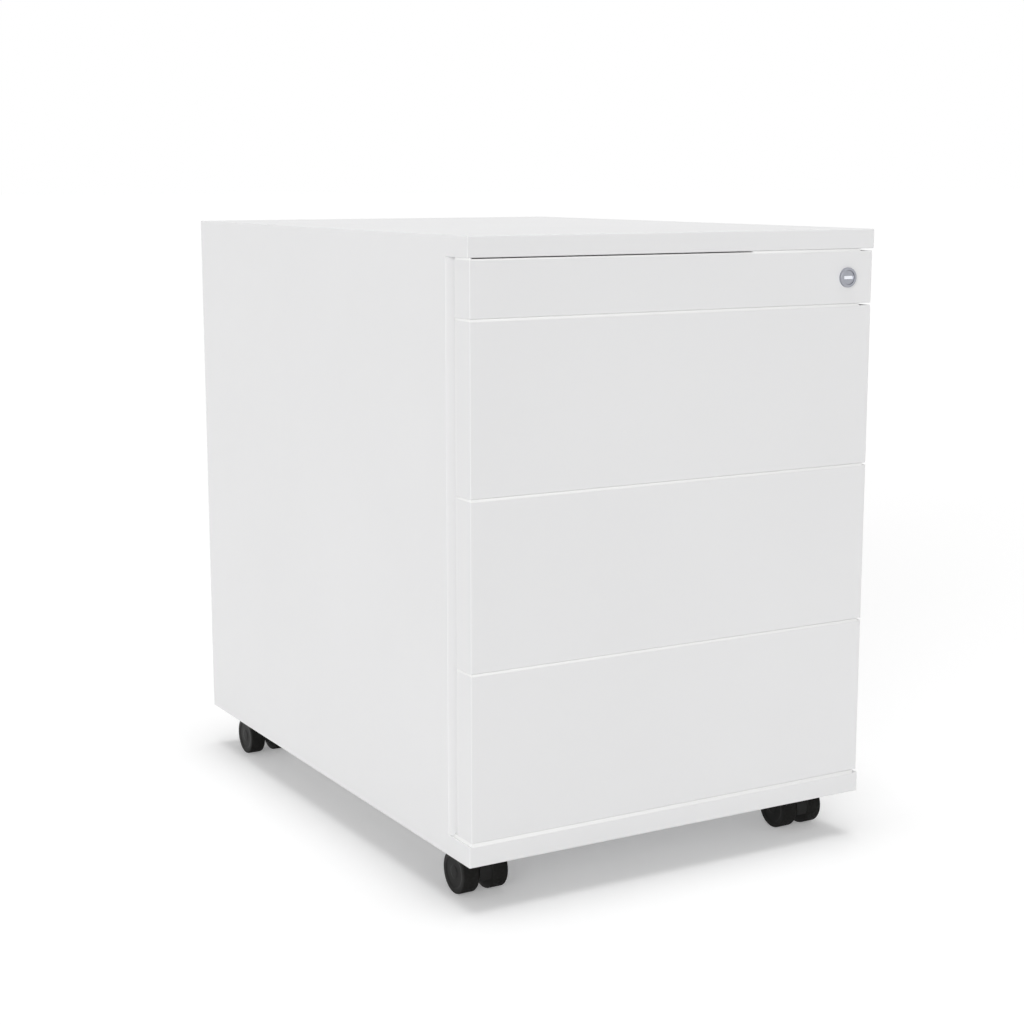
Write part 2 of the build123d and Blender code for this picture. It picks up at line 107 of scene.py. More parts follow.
surround_light = 0.39
surround_seen = 1.0
plain_white = (1, 1, 1, 1)
surround = bpy.data.worlds.new("studio_surround")
surround.use_nodes = True
surround.node_tree.nodes.clear()
sky = surround.node_tree
strength = add_node(sky, "ShaderNodeMapRange", {
    "Value": as_seen(sky), "To Min": surround_light, "To Max": surround_seen,
})
backdrop = add_node(sky, "ShaderNodeBackground", {"Color": plain_white, "Strength": strength.outputs[0]})
add_node(sky, "ShaderNodeOutputWorld", {"Surface": backdrop.outputs[0]})
scene.world = surround

studio_lamps = {
    "overhead_light": (1.36, math.radians(34), (0.0, 0.0, 1.0)),
    "front_left_light": (1.69, math.radians(40), (-0.735, -0.665, 0.15)),
}
for lamp_name, (energy, spread, place) in studio_lamps.items():
    lamp = bpy.data.lights.new(lamp_name, "SUN")
    lamp.energy = energy
    lamp.angle = spread
    lamp_object = bpy.data.objects.new(lamp_name, lamp)
    lamp_object.rotation_euler = Vector(place).to_track_quat("Z", "Y").to_euler()
    scene.collection.objects.link(lamp_object)


# Floor: a plain pale sheet that runs out to the horizon and takes the pedestal's shadow.
# It is lifted to white for the eye alone, so the shadow stays and no light is added to the pedestal.
floor_reach = 60.0
floor_colour = (0.87, 0.87, 0.87, 1)
floor_lift = 0.225
floor_mesh = bpy.data.meshes.new("studio_floor")
floor_mesh.from_pydata(
    [(-floor_reach, -floor_reach, 0), (floor_reach, -floor_reach, 0),
     (floor_reach, floor_reach, 0), (-floor_reach, floor_reach, 0)],
    [], [(0, 1, 2, 3)],
)
floor = bpy.data.objects.new("studio_floor", floor_mesh)
scene.collection.objects.link(floor)
floor_paint = bpy.data.materials.new("studio_floor_paint")
floor_paint.use_nodes = True
floor_paint.node_tree.nodes.clear()
sheet = floor_paint.node_tree
pale = add_node(sheet, "ShaderNodeBsdfDiffuse", {"Color": floor_colour})
lift = add_node(sheet, "ShaderNodeMath", {0: as_seen(sheet), 1: floor_lift}, operation="MULTIPLY")
glow = add_node(sheet, "ShaderNodeEmission", {"Color": plain_white, "Strength": lift.outputs[0]})
both = add_node(sheet, "ShaderNodeAddShader", {0: pale.outputs[0], 1: glow.outputs[0]})
add_node(sheet, "ShaderNodeOutputMaterial", {"Surface": both.outputs[0]})
floor_mesh.materials.append(floor_paint)


# Body: folded mild steel panels a millimetre thick, welded into a case and powder coated white in one go.
# The coat is matt, with the faint orange peel and the slight drift in tone of a sprayed and baked finish.
usual_low, usual_high = 0.3, 0.7
mix_first, mix_second, mix_result = 6, 7, 2


def start_material(name):
    """A new material with a Principled shader, ready for its own detail."""
    material = bpy.data.materials.new(name)
    material.use_nodes = True
    tree = material.node_tree
    return material, tree, tree.nodes["Principled BSDF"]


def object_place(tree, stretch=(1, 1, 1), centre=(0, 0, 0)):
    """Object coordinates measured from a centre, and stretched."""
    place = add_node(tree, "ShaderNodeTexCoord").outputs["Object"]
    moved = add_node(tree, "ShaderNodeVectorMath", {0: place, 1: centre}, operation="SUBTRACT").outputs[0]
    return add_node(tree, "ShaderNodeVectorMath", {0: moved, 1: stretch}, operation="MULTIPLY").outputs[0]


def noise(tree, place, size, detail=2.0):
    """Cloudy noise whose blotches are about the given size in metres."""
    inputs = {"Vector": place, "Scale": 1 / size, "Detail": detail}
    return add_node(tree, "ShaderNodeTexNoise", inputs).outputs[0]


def spread_over(tree, pattern, low, high):
    """A pattern stretched between two values, from the range that most of a noise lies in."""
    return add_node(tree, "ShaderNodeMapRange", {
        "Value": pattern, "From Min": usual_low, "From Max": usual_high, "To Min": low, "To Max": high,
    }).outputs[0]


def mix_colours(tree, pattern, first, second):
    """Two colours mixed by a pattern, through the Mix node's colour sockets."""
    inputs = {"Factor": pattern, mix_first: (*first, 1), mix_second: (*second, 1)}
    return add_node(tree, "ShaderNodeMix", inputs, data_type="RGBA").outputs[mix_result]


def cloudy_colour(tree, surface, place, shade, tone, size, detail):
    """Lets the colour drift between a shade and a tone, and gives the drift's pattern."""
    cloud = spread_over(tree, noise(tree, place, size, detail), 0.0, 1.0)
    tree.links.new(mix_colours(tree, cloud, shade, tone), surface.inputs["Base Color"])
    return cloud


def uneven_gloss(tree, surface, pattern, roughness, less, more):
    """Lets the roughness vary with a pattern."""
    uneven = spread_over(tree, pattern, roughness - less, roughness + more)
    tree.links.new(uneven, surface.inputs["Roughness"])


def bump_from(tree, surface, height, strength, depth):
    """Raises the surface by a pattern of the given depth."""
    bump = add_node(tree, "ShaderNodeBump", {"Height": height, "Strength": strength, "Distance": depth})
    tree.links.new(bump.outputs[0], surface.inputs["Normal"])


def powder_coat(name, tone, shade, roughness, peel_size, peel_depth, gloss=0.28):
    """Sprayed and baked coat: drifting tone, uneven gloss and a fine peel in the surface."""
    material, tree, surface = start_material(name)
    surface.inputs["Specular IOR Level"].default_value = gloss
    place = object_place(tree)
    cloudy_colour(tree, surface, place, shade, tone, size=0.22, detail=3.0)
    patches = noise(tree, place, size=0.018, detail=4.0)
    uneven_gloss(tree, surface, patches, roughness, less=0.05, more=0.05)
    bump_from(tree, surface, noise(tree, place, peel_size), strength=0.30, depth=peel_depth)
    return material


def dress(material, *names):
    """Gives carried-over pieces their finish."""
    for name in names:
        mesh = cad_nodes[name].data
        mesh.materials.clear()
        mesh.materials.append(material)


white_coat = powder_coat(
    "white_powder_coat", tone=(0.850, 0.850, 0.854), shade=(0.836, 0.836, 0.840), roughness=0.56,
    peel_size=0.0018, peel_depth=0.00004,
)
dress(white_coat, "left_side_panel", "right_side_panel", "top_panel", "base_panel", "back_panel")


# Spot welds: rows of shallow round marks where the rear flanges and returns are welded to the back.
# The coat runs over them, so they show as faint rings, set out by a Geometry Nodes tree.
merge_distance = 1e-6


def keep_mesh(name, builder, material, smooth_under=35.0):
    """Turns a built shape into a piece with outward faces, soft bends and crisp edges."""
    bmesh.ops.remove_doubles(builder, verts=builder.verts, dist=merge_distance)
    bmesh.ops.recalc_face_normals(builder, faces=builder.faces)
    mesh = bpy.data.meshes.new(name)
    builder.to_mesh(mesh)
    builder.free()
    mesh.shade_smooth()
    mesh.set_sharp_from_angle(angle=math.radians(smooth_under))
    mesh.materials.append(material)
    piece = bpy.data.objects.new(name, mesh)
    scene.collection.objects.link(piece)
    return piece


def place_piece(piece, body, slot, *nodes):
    """Hands a finished piece to the body that it moves with, in place of the solids that it details."""
    if nodes:
        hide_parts(*nodes)
    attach(piece, body)


def turn(builder, profile, steps, place):
    """Turns a profile of (distance along the axis, radius) points; a zero radius closes it at the axis.
    A radius may also be a function of the angle, for a slot or a cross in a round face."""
    rings = []
    for along, radius in profile:
        if radius == 0:
            rings.append([builder.verts.new(place(along, 0, 0))])
            continue
        ring = []
        for step in range(steps):
            angle = 2 * math.pi * (step + 0.5) / steps
            reach = radius(angle) if callable(radius) else radius
            ring.append(builder.verts.new(place(along, reach, angle)))
        rings.append(ring)
    for ring, following in zip(rings, rings[1:]):
        for step in range(steps):
            corners = []
            for circle, at in ((ring, step), (ring, step + 1), (following, step + 1), (following, step)):
                vertex = circle[at % len(circle)]
                if vertex not in corners:
                    corners.append(vertex)
            builder.faces.new(corners)


def about_z(along, radius, angle):
    """A point on a blank turned about the Z axis."""
    return Vector((radius * math.cos(angle), radius * math.sin(angle), along))


def start_tree(name, inputs):
    """A Geometry Nodes tree with named inputs, and the identifiers that set them."""
    tree = bpy.data.node_groups.new(name, "GeometryNodeTree")
    tree.interface.new_socket("Geometry", in_out="INPUT", socket_type="NodeSocketGeometry")
    keys = {}
    for label, kind in inputs.items():
        keys[label] = tree.interface.new_socket(label, in_out="INPUT", socket_type=kind).identifier
    tree.interface.new_socket("Geometry", in_out="OUTPUT", socket_type="NodeSocketGeometry")
    return tree, tree.nodes.new("NodeGroupInput").outputs, keys


def end_tree(tree, instances, finish):
    """Ends a tree with plain faces in one finish."""
    plain = add_node(tree, "GeometryNodeRealizeInstances", {"Geometry": instances})
    dressed = add_node(tree, "GeometryNodeSetMaterial", {"Geometry": plain.outputs[0], "Material": finish})
    add_node(tree, "NodeGroupOutput", {0: dressed.outputs[0]})


fastener_tree, given, fastener_keys = start_tree("set_out_fasteners", {
    "Blank": "NodeSocketObject", "Finish": "NodeSocketMaterial",
})
blank = add_node(fastener_tree, "GeometryNodeObjectInfo", {"Object": given["Blank"]})
facing = add_node(
    fastener_tree, "GeometryNodeInputNamedAttribute", {"Name": "facing"}, data_type="FLOAT_VECTOR",
)
turned = add_node(fastener_tree, "FunctionNodeAlignRotationToVector", {"Vector": facing.outputs[0]}, axis="Z")
copies = add_node(fastener_tree, "GeometryNodeInstanceOnPoints", {
    "Points": given["Geometry"], "Instance": blank.outputs["Geometry"], "Rotation": turned.outputs[0],
})
end_tree(fastener_tree, copies.outputs[0], given["Finish"])


def fasten(name, blank_piece, seats, finish):
    """Sets copies of a fastener out at a list of (place, facing) seats, as one plain mesh piece."""
    points = bpy.data.meshes.new(f"{name}_seats")
    points.from_pydata([place for place, facing in seats], [], [])
    directions = points.attributes.new("facing", "FLOAT_VECTOR", "POINT")
    for entry, (place, facing) in zip(directions.data, seats):
        entry.vector = facing
    maker = bpy.data.objects.new(f"{name}_maker", points)
    scene.collection.objects.link(maker)
    modifier = maker.modifiers.new(name, "NODES")
    modifier.node_group = fastener_tree
    modifier[fastener_keys["Blank"]] = blank_piece
    modifier[fastener_keys["Finish"]] = finish
    made = maker.evaluated_get(bpy.context.evaluated_depsgraph_get())
    piece = bpy.data.objects.new(name, bpy.data.meshes.new_from_object(made))
    maker.modifiers.clear()
    bpy.data.objects.remove(maker)
    scene.collection.objects.link(piece)
    return piece


def blank_from(name, profile, steps, finish):
    """A fastener's blank, turned about Z and kept out of the scene."""
    builder = bmesh.new()
    turn(builder, profile, steps, about_z)
    blank_piece = keep_mesh(name, builder, finish)
    scene.collection.objects.unlink(blank_piece)
    return blank_piece


weld_spacing = 0.082
weld_inset = 0.008
weld_columns = 5
weld_steps = 20
weld_profile = [
    (0.0, 0), (0.0, 0.0036), (0.00035, 0.0032), (0.00045, 0.0028), (0.00035, 0.0024), (0.00008, 0.0019),
    (0.00005, 0),
]
weld_blank = blank_from("weld_mark", weld_profile, weld_steps, white_coat)
top_low, top_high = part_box("top_panel")
base_low, base_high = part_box("base_panel")
rear = top_high.y
weld_rows = int((top_low.z - base_high.z) / weld_spacing)
upright = [base_high.z + weld_spacing * (i + 0.5) for i in range(weld_rows)]
across = [weld_spacing * (i - (weld_columns - 1) / 2) for i in range(weld_columns)]
weld_places = [(side * (cad_high.x - weld_inset), z) for side in (-1, 1) for z in upright]
for low, high in ((top_low, top_high), (base_low, base_high)):
    weld_places += [(x, (low.z + high.z) / 2) for x in across]
weld_seats = [((x, rear, z), (0, 1, 0)) for x, z in weld_places]
place_piece(fasten("rear_weld_marks", weld_blank, weld_seats, white_coat), "carcass", "white_coat")


# Runner posts: upright channels of the same sheet, welded to the inside of the side panels.
# They and the insides of the drawers carry a thinner, duller pass of the same powder coat.
inner_coat = powder_coat(
    "inner_powder_coat", tone=(0.815, 0.815, 0.820), shade=(0.790, 0.790, 0.795), roughness=0.60,
    peel_size=0.0014, peel_depth=0.00003,
)
dress(inner_coat, "runner_posts")


# Ball runners: steel strip rolled into channels with rounded bends, and zinc plated.
# The wide channel is hung on the posts and the narrow one is riveted to the drawer.
drawers = ["lower", "middle", "upper", "pencil"]
runner_sheet = 0.0012
bend = 0.0018
bend_steps = 4
wide_flange = 0.0095
wide_lip = 0.0024
narrow_flange = 0.0091


def zinc_plate(name, tone, shade, streak, roughness):
    """Bright zinc plating on rolled steel, streaked along the rolling direction."""
    material, tree, surface = start_material(name)
    surface.inputs["Metallic"].default_value = 1.0
    cloudy_colour(tree, surface, object_place(tree), shade, tone, size=0.012, detail=4.0)
    lines = noise(tree, object_place(tree, streak), size=0.0012, detail=3.0)
    uneven_gloss(tree, surface, lines, roughness, less=0.10, more=0.12)
    bump_from(tree, surface, lines, strength=0.25, depth=0.00002)
    return material


def bent_strip(corners, radius, thickness):
    """The outline of a strip that follows a path with rounded bends, in a plane."""
    path = [Vector(corners[0])]
    for before, corner, after in zip(corners, corners[1:], corners[2:]):
        corner = Vector(corner)
        into = (Vector(before) - corner).normalized()
        out = (Vector(after) - corner).normalized()
        start, end = corner + radius * into, corner + radius * out
        for step in range(bend_steps + 1):
            share = step / bend_steps
            path.append(start.lerp(corner, share).lerp(corner.lerp(end, share), share))
    path.append(Vector(corners[-1]))
    left, right = [], []
    for i, point in enumerate(path):
        ahead = path[min(i + 1, len(path) - 1)] - path[max(i - 1, 0)]
        aside = Vector((-ahead.y, ahead.x)).normalized() * thickness / 2
        left.append(point + aside)
        right.append(point - aside)
    return left + right[::-1]


def draw_along(builder, outline, front, back, side):
    """Draws a closed outline of X and Z along Y as a solid bar."""
    ends = []
    for y in (front, back):
        ends.append([builder.verts.new((side * point.x, y, point.y)) for point in outline])
    count = len(outline)
    for i in range(count):
        j = (i + 1) % count
        builder.faces.new((ends[0][i], ends[0][j], ends[1][j], ends[1][i]))
    half = count // 2
    for ring in ends:
        for i in range(half - 1):
            builder.faces.new((ring[i], ring[i + 1], ring[count - 2 - i], ring[count - 1 - i]))


runner_zinc = zinc_plate(
    "runner_zinc", tone=(0.66, 0.67, 0.69), shade=(0.54, 0.55, 0.57), streak=(1, 0.02, 1), roughness=0.34,
)


def runner_pair(name, corners, low, high):
    """A left and a right channel, drawn along the drawer's travel."""
    builder = bmesh.new()
    for side in (-1, 1):
        draw_along(builder, bent_strip(corners, bend, runner_sheet), low.y, high.y, side)
    return keep_mesh(name, builder, runner_zinc)


for name in drawers:
    low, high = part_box(f"{name}_cabinet_rails")
    web, lip = high.x - runner_sheet / 2, high.x - wide_flange + runner_sheet / 2
    top, bottom = high.z - runner_sheet / 2, low.z + runner_sheet / 2
    hook = wide_lip - runner_sheet / 2
    corners = [(lip, top - hook), (lip, top), (web, top), (web, bottom), (lip, bottom), (lip, bottom + hook)]
    wide = runner_pair(f"{name}_cabinet_runners", corners, low, high)
    place_piece(wide, "carcass", "zinc_steel", f"{name}_cabinet_rails")

    low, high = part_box(f"{name}_drawer_rails")
    web, tip = high.x - narrow_flange + runner_sheet / 2, high.x
    top, bottom = high.z - runner_sheet / 2, low.z + runner_sheet / 2
    corners = [(tip, top), (web, top), (web, bottom), (tip, bottom)]
    narrow = runner_pair(f"{name}_drawer_runners", corners, low, high)
    place_piece(narrow, f"{name}_drawer", "zinc_steel", f"{name}_drawer_rails")


# Rivets: domed steel heads spaced along each runner, which hold the narrow channel to the drawer's side.
# Each is a turned blank, set out along the runners in the way of the weld marks.
rivet_spacing = 0.096
rivet_margin = 0.03
rivet_steps = 16
rivet_profile = [(0.0, 0), (0.0, 0.0030), (0.0004, 0.0029), (0.0008, 0.0024), (0.0011, 0.0015), (0.0012, 0)]
rivet_blank = blank_from("runner_rivet", rivet_profile, rivet_steps, runner_zinc)
for name in drawers:
    low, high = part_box(f"{name}_drawer_rails")
    face = high.x - narrow_flange + runner_sheet
    level = (low.z + high.z) / 2
    count = int((high.y - low.y - 2 * rivet_margin) / rivet_spacing) + 1
    first = (low.y + high.y) / 2 - (count - 1) * rivet_spacing / 2
    seats = [
        ((side * face, first + i * rivet_spacing, level), (side, 0, 0))
        for side in (-1, 1) for i in range(count)
    ]
    rivets = fasten(f"{name}_runner_rivets", rivet_blank, seats, runner_zinc)
    place_piece(rivets, f"{name}_drawer", "zinc_steel")


# Ball cages: pressed strips with a row of bright steel balls in each arm, running between the two channels.
# They travel half as far as the drawer does.
cage_zinc = zinc_plate(
    "cage_zinc", tone=(0.74, 0.74, 0.75), shade=(0.62, 0.62, 0.64), streak=(1, 0.05, 1), roughness=0.26,
)
dress(cage_zinc, *[f"{name}_ball_cages" for name in drawers])


# Drawer boxes: thin sheet folded into open boxes, with a hem along the sides and slots for dividers.
# They carry the duller inside coat, as the liners behind the fronts do.
dress(inner_coat, *[f"{name}_drawer_box" for name in drawers if name != "pencil"])
dress(inner_coat, *[f"{name}_front_liner" for name in drawers])


# Drawer fronts: folded steel shells with tight, even bends, coated with the body.
# They stand clear of the side panels, so that fingers grip behind their ends.
dress(white_coat, *[f"{name}_front_shell" for name in drawers])


# Grip strips: slim wedges along the front flanges, coated with the body, which lead the fingers in.
# Their faces turn outwards to the light, so the recesses behind the fronts' ends are pale.
# The right one stops under the lock's strike.
grip_edge = 0.0006
grip_width = 0.0128
grip_depth = 0.0066
grip_tip = 0.0016
grip_clearance = 0.0001


def vertices_of(made):
    """The vertices among what an extrusion made."""
    return [item for item in made if isinstance(item, bmesh.types.BMVert)]


strike_low, strike_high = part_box("lock_strike")
flange = strike_high.y
grip_outer = cad_high.x - grip_edge
grip_inner = grip_outer - grip_width
grip_section = [
    (grip_outer, flange), (grip_outer, flange - grip_edge), (grip_inner + grip_tip, flange - grip_depth),
    (grip_inner, flange - grip_depth + grip_tip), (grip_inner, flange),
]
builder = bmesh.new()
for side, top in ((-1, top_low.z), (1, strike_low.z)):
    foot = builder.faces.new([builder.verts.new((side * x, y, base_high.z)) for x, y in grip_section])
    raised = bmesh.ops.extrude_face_region(builder, geom=[foot], use_keep_orig=True)["geom"]
    for vertex in vertices_of(raised):
        vertex.co.z = top - grip_clearance
place_piece(keep_mesh("grip_strips", builder, white_coat), "carcass", "white_coat")


# Joint strips: soft white bars stuck onto the tops of the fronts and of the plinth.
# They fill the joints almost to the face, as thin pale lines, and stop short of the right ends.
# Their white, brighter than the body's coat, is partly a pale moulding and partly a painted highlight for the
# lit joints.
# The two beside the lock's front end further in, and the upper one leaves a dark slot under the top's lip.
strip_setback = 0.0002
strip_seat = 0.0006
strip_clearance = 0.0001
strip_round = 0.0002
right_end = 0.004
lock_end = 0.014
lip_slot = 0.0009
lip_slot_left = -0.210
lip_slot_right = 0.0755
front_low, front_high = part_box("lower_front_shell")


def moulding(name, tone, shade, roughness, grain_size, grain_depth, gloss=0.4):
    """Moulded plastic with a fine spark-eroded grain."""
    material, tree, surface = start_material(name)
    surface.inputs["Specular IOR Level"].default_value = gloss
    place = object_place(tree)
    cloudy_colour(tree, surface, place, shade, tone, size=0.03, detail=3.0)
    grain = noise(tree, place, grain_size, detail=3.0)
    uneven_gloss(tree, surface, grain, roughness, less=0.06, more=0.08)
    bump_from(tree, surface, grain, strength=0.4, depth=grain_depth)
    return material


def joint_strip(builder, left, right, back, bottom, top):
    """A bar that starts at the face of the fronts, with rounded edges."""
    ranges = ((left, right), (front_low.y + strip_setback, back), (bottom, top))
    corners = bmesh.ops.create_cube(builder, size=2.0)["verts"]
    for vertex in corners:
        vertex.co = [ends[place > 0] for ends, place in zip(ranges, vertex.co)]
    edges = list({edge for vertex in corners for edge in vertex.link_edges})
    bmesh.ops.bevel(builder, geom=edges, offset=strip_round, segments=2, profile=0.5, affect="EDGES")


# Whiter than the body's coat: partly a pale moulding, partly a painted highlight for the lit joints between
# the fronts.
pale_strip_painted_highlight = moulding(
    "joint_strip_painted_highlight", tone=(0.945, 0.945, 0.942), shade=(0.935, 0.935, 0.932), roughness=0.52,
    grain_size=0.0006, grain_depth=0.00001, gloss=0.3,
)
stack = ["base_panel"] + [f"{name}_front_shell" for name in drawers] + ["top_panel"]
strip_bodies = {"plinth": "carcass", **{name: f"{name}_drawer" for name in drawers}}
for (name, body), under, over in zip(strip_bodies.items(), stack, stack[1:]):
    left = front_low.x + strip_setback
    right = front_high.x - (lock_end if name in ("upper", "pencil") else right_end)
    back = flange - grip_depth if name == "plinth" else front_high.y - strip_setback
    bottom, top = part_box(under)[1].z - strip_seat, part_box(over)[0].z - strip_clearance
    spans = [(left, right, top)]
    if name == "pencil":
        spans = [
            (left, lip_slot_left, top),
            (lip_slot_left, lip_slot_right, top - lip_slot),
            (lip_slot_right, right, top),
        ]
    builder = bmesh.new()
    for start, end, height in spans:
        joint_strip(builder, start, end, back, bottom, height)
    place_piece(keep_mesh(f"{name}_joint_strip", builder, pale_strip_painted_highlight), body, "white_coat")


# Drawer screws: pan heads with a cross recess, driven from inside the box through its front wall.
# Zinc plated, like the runners.
def cross(reach, half_width):
    """The outline of a cross recess, as a radius for each angle."""
    def radius(angle):
        across, up = abs(math.cos(angle)), abs(math.sin(angle))
        return max(min(reach / across, half_width / up), min(half_width / across, reach / up))
    return radius


screw_zinc = zinc_plate(
    "screw_zinc", tone=(0.70, 0.70, 0.71), shade=(0.58, 0.58, 0.60), streak=(1, 1, 1), roughness=0.30,
)
screw_head = 0.0022
screw_radius = 0.0040
screw_steps = 24
screw_profile = [
    (-0.0060, 0), (-0.0060, 0.0014), (-0.0050, 0.0020), (0.0, 0.0020), (0.0, screw_radius),
    (0.0009, screw_radius), (0.0016, 0.0036), (0.0020, 0.0029), (screw_head, 0.0023),
    (screw_head, cross(0.0020, 0.00055)), (0.0012, cross(0.0014, 0.00040)), (0.0009, 0),
]
screw_blank = blank_from("pan_head_screw", screw_profile, screw_steps, screw_zinc)
for name in drawers:
    low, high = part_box(f"{name}_drawer_screws")
    seat = high.y - screw_head
    sides = (low.x + screw_radius, high.x - screw_radius)
    levels = sorted({round(low.z + screw_radius, 5), round(high.z - screw_radius, 5)})
    seats = [((x, seat, z), (0, 1, 0)) for x in sides for z in levels]
    screws = fasten(f"{name}_front_screws", screw_blank, seats, screw_zinc)
    place_piece(screws, f"{name}_drawer", "zinc_steel", f"{name}_drawer_screws")


# Pencil tray: one black moulding with drafted walls, a ridged pen trough, three small bays and a large one.
# Its corner is left out for the lock, and it hangs on the pencil drawer's runners.
tray_low, tray_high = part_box("pencil_tray")
lock_low, lock_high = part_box("lock_housing")
lock_x = (lock_low.x + lock_high.x) / 2
tray_wall = 0.0020
divider_height = 0.014
trough_length = 0.110
bay_length = 0.120
bay_divider = 0.059
lock_room = 0.017
pen_grooves = 5
steps_per_groove = 8
ridge_height = 0.0022
line_gap = 0.00005
edge_slack = 0.00002
tray_smooth_under = 30.0
tray_floor = tray_low.z + tray_wall
divider_top = tray_floor + divider_height
trough_end = tray_low.y + tray_wall + trough_length
bays_end = trough_end + tray_wall + bay_length
notch_left = lock_x - lock_room
notch_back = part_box("pencil_drawer_rails")[0].y
wall_section = [
    (0.0, -0.0006), (0.0002, -0.0002), (0.0006, 0.0), (0.0014, 0.0), (0.0018, -0.0002), (0.0020, -0.0006),
]
foot_section = [(0.0030, 0.0034), (0.0034, 0.0018), (0.0042, 0.0007), (0.0054, 0.0001), (0.0064, 0.0)]
divider_section = [(0.0, 0.0), (0.0006, -0.0001), (0.0009, -0.0005)]
divider_foot = [(0.0016, 0.0028), (0.0020, 0.0014), (0.0028, 0.0005), (0.0040, 0.0)]


def follow(section, distance):
    """The height that a list of (distance, height) points gives at a distance."""
    if distance <= section[0][0]:
        return section[0][1]
    for (start, low), (end, high) in zip(section, section[1:]):
        if distance <= end:
            return low + (high - low) * (distance - start) / (end - start)
    return section[-1][1]


wall_heights = [(d, tray_high.z + z) for d, z in wall_section]
wall_heights += [(d, tray_floor + z) for d, z in foot_section]
divider_heights = [(d, divider_top + z) for d, z in divider_section]
divider_heights += [(d, tray_floor + z) for d, z in divider_foot]
cross_dividers = [trough_end + tray_wall / 2, bays_end + tray_wall / 2]
bay_dividers = [-bay_divider, bay_divider]


def into_tray(x, y):
    """How far a point lies inside the tray's outline, which steps in around the lock."""
    edges = [x - tray_low.x, tray_high.x - x, y - tray_low.y, tray_high.y - y]
    if x >= notch_left or y <= notch_back:
        edges.append(max(notch_left - x, y - notch_back))
    else:
        edges.append(math.hypot(notch_left - x, y - notch_back))
    return min(edges)


def tray_height(x, y):
    """The height of the tray's upper surface."""
    height = tray_floor
    if y < trough_end:
        groove = (y - tray_low.y - tray_wall) / (trough_end - tray_low.y - tray_wall) * pen_grooves
        height += ridge_height * (0.5 + 0.5 * math.cos(2 * math.pi * groove)) ** 2
    for divider in cross_dividers:
        height = max(height, follow(divider_heights, abs(y - divider)))
    if cross_dividers[0] < y < cross_dividers[1]:
        for divider in bay_dividers:
            height = max(height, follow(divider_heights, abs(x - divider)))
    return max(height, follow(wall_heights, into_tray(x, y)))


wall_steps = [d for d, z in wall_heights]
divider_steps = [side * d for d, z in divider_heights for side in (-1, 1)]
grid_x = [tray_low.x + d for d in wall_steps] + [tray_high.x - d for d in wall_steps]
grid_x += [notch_left - d for d in wall_steps] + [notch_left]
grid_x += [divider + d for divider in bay_dividers for d in divider_steps] + [0.0]
grid_y = [tray_low.y + d for d in wall_steps] + [tray_high.y - d for d in wall_steps]
grid_y += [notch_back + d for d in wall_steps] + [notch_back]
grid_y += [divider + d for divider in cross_dividers for d in divider_steps]
ridge_steps = steps_per_groove * pen_grooves
grid_y += [tray_low.y + (trough_end - tray_low.y) * i / ridge_steps for i in range(1, ridge_steps)]


def clear_steps(values):
    """Sorted grid lines with the nearly equal ones taken out."""
    lines = []
    for value in sorted(values):
        if not lines or value - lines[-1] > line_gap:
            lines.append(value)
    return lines


grid_x, grid_y = clear_steps(grid_x), clear_steps(grid_y)
builder = bmesh.new()
corners = {}
for i, x in enumerate(grid_x):
    for j, y in enumerate(grid_y):
        if into_tray(x, y) > -edge_slack:
            corners[i, j] = builder.verts.new((x, y, tray_height(x, y)))
for i in range(len(grid_x) - 1):
    for j in range(len(grid_y) - 1):
        middle = into_tray((grid_x[i] + grid_x[i + 1]) / 2, (grid_y[j] + grid_y[j + 1]) / 2)
        square = [(i, j), (i + 1, j), (i + 1, j + 1), (i, j + 1)]
        if middle > 0 and all(key in corners for key in square):
            builder.faces.new([corners[key] for key in square])
rim = [edge for edge in builder.edges if edge.is_boundary]
skirt = bmesh.ops.extrude_edge_only(builder, edges=rim)["geom"]
for vertex in vertices_of(skirt):
    vertex.co.z = tray_low.z
bmesh.ops.holes_fill(builder, edges=[edge for edge in builder.edges if edge.is_boundary])
loose = [vertex for vertex in builder.verts if not vertex.link_faces]
bmesh.ops.delete(builder, geom=loose, context="VERTS")
black_moulding = moulding(
    "black_moulding", tone=(0.021, 0.021, 0.022), shade=(0.015, 0.015, 0.016), roughness=0.48,
    grain_size=0.0006, grain_depth=0.00005,
)
tray = keep_mesh("pencil_tray_moulding", builder, black_moulding, tray_smooth_under)
place_piece(tray, "pencil_drawer", "black_moulding", "pencil_tray")


# Lock: a turned nickel barrel with a rounded rim, held through the pencil front by a nut.
# Its plug has a level keyway with a bright shutter behind it, and carries the cam.
lock_z = (lock_low.z + lock_high.z) / 2
rim_radius = (lock_high.x - lock_low.x) / 2
rim_depth = 0.0030
barrel_end = lock_high.y - lock_low.y
barrel_radius = 0.0080
bore_radius = 0.00656
barrel_steps = 72


def about_lock(along, radius, angle):
    """A point on a piece turned about the lock's axis, measured back from the rim's face."""
    return Vector((lock_x + radius * math.cos(angle), lock_low.y + along, lock_z + radius * math.sin(angle)))


def nickel(name, tone, shade, roughness, ring_size):
    """Satin nickel with the fine rings that the lathe leaves."""
    material, tree, surface = start_material(name)
    surface.inputs["Metallic"].default_value = 1.0
    place = object_place(tree, centre=(lock_x, 0, lock_z))
    cloud = cloudy_colour(tree, surface, place, shade, tone, size=0.004, detail=4.0)
    uneven_gloss(tree, surface, cloud, roughness, less=0.05, more=0.07)
    wave = {"Vector": place, "Scale": 1 / ring_size, "Distortion": 0.4}
    rings = add_node(tree, "ShaderNodeTexWave", wave, wave_type="RINGS", rings_direction="Y")
    bump_from(tree, surface, rings.outputs["Fac"], strength=0.15, depth=0.00001)
    return material


